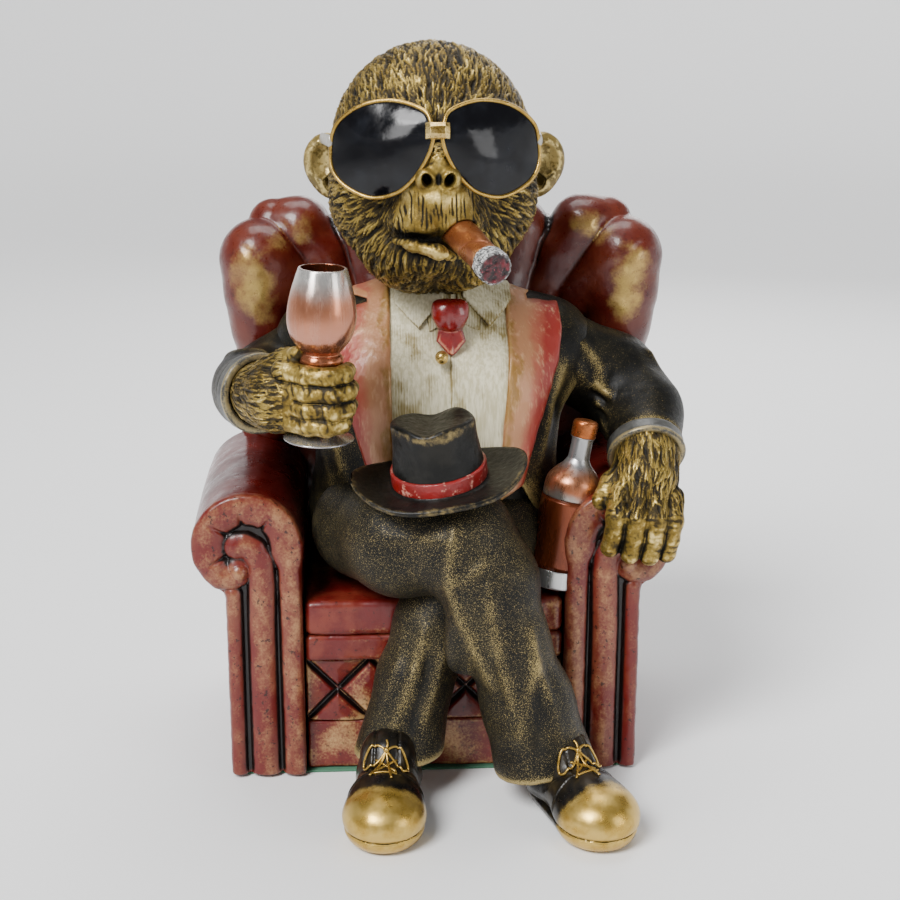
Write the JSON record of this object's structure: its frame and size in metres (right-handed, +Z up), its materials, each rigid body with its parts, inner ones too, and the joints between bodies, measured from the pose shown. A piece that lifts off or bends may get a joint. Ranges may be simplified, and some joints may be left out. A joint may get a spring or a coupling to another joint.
{
  "type": "seated ape statuette",
  "caption": "Painted cast-resin statuette of a suited ape in sunglasses, sitting cross-legged in a scroll-arm armchair with a wine glass, a cigar, a bottle and a hat on its lap.",
  "frame": {"origin": "middle of the felt under the armchair, at table level", "axes": "+Z up, the figure faces -Y, +X is the figure's left"},
  "size_m": [0.2188, 0.2015, 0.3234],
  "materials": {
    "felt": "matt green felt",
    "plug_board": "bare board",
    "chair_red": "cast resin painted deep red, gold rubbed on the high parts",
    "chair_gold_red": "cast resin painted red, antique gold rubbed over",
    "black_cloth": "cast resin painted charcoal, gold brushed on the folds",
    "cuff_grey": "cast resin painted dark metallic grey",
    "shirt_white": "cast resin painted off-white with a brown wash",
    "tie_red": "cast resin painted glossy red",
    "lapel_red": "cast resin painted red fading to copper",
    "fur": "cast resin painted black, gold dry-brushed over the hair",
    "gold_paint": "gold paint",
    "gloss_black": "high-gloss black",
    "silver_paint": "silver paint",
    "copper_paint": "copper paint",
    "copper_silver": "silver paint fading to copper",
    "cigar_brown": "copper-brown paint",
    "ash": "pale grey with a dark red ember",
    "shoe_gold_black": "gloss black fading to bright gold at the toe",
    "hat_black": "charcoal, gold on the edges",
    "band_red": "red with pale highlights",
    "steel": "plain steel rod"
  },
  "bodies": {
    "root": {"chair_felt": "felt", "underside_plugs": "plug_board", "seat_box": "chair_red", "seat_cushion": "chair_red", "front_rail": "chair_red", "tufted_panel": "chair_red", "plinth": "chair_red", "right_armrest": "chair_red", "left_armrest": "chair_red", "right_arm_facing": "chair_gold_red", "left_arm_facing": "chair_gold_red", "chair_back": "chair_red", "torso": "black_cloth", "shirt_front": "shirt_white", "shirt_collar": "shirt_white", "necktie": "tie_red", "shirt_button": "gold_paint", "right_lapel": "lapel_red", "left_lapel": "lapel_red", "head": "fur", "right_ear": "fur", "left_ear": "fur", "spectacle_frame": "gold_paint", "spectacle_bridge": "gold_paint", "right_lens": "gloss_black", "left_lens": "gloss_black", "right_temple": "silver_paint", "left_temple": "silver_paint", "cigar": "cigar_brown", "cigar_ash": "ash", "right_sleeve": "black_cloth", "left_sleeve": "black_cloth", "right_cuff": "cuff_grey", "left_cuff": "cuff_grey", "right_hand": "fur", "left_hand": "fur", "wine_glass": "copper_silver", "right_trouser_leg": "black_cloth", "left_trouser_leg": "black_cloth", "right_shoe": "shoe_gold_black", "left_shoe": "shoe_gold_black", "right_sole": "shoe_gold_black", "left_sole": "shoe_gold_black", "right_laces": "gold_paint", "left_laces": "gold_paint", "shoe_felts": "felt", "hat": "hat_black", "hat_band": "band_red", "bottle": "silver_paint", "bottle_label": "copper_paint", "bottle_cap": "copper_paint", "neck_dowel": "steel", "wrist_dowels": "steel", "ankle_dowels": "steel", "hat_dowel": "steel"}
  },
  "joints": []
}
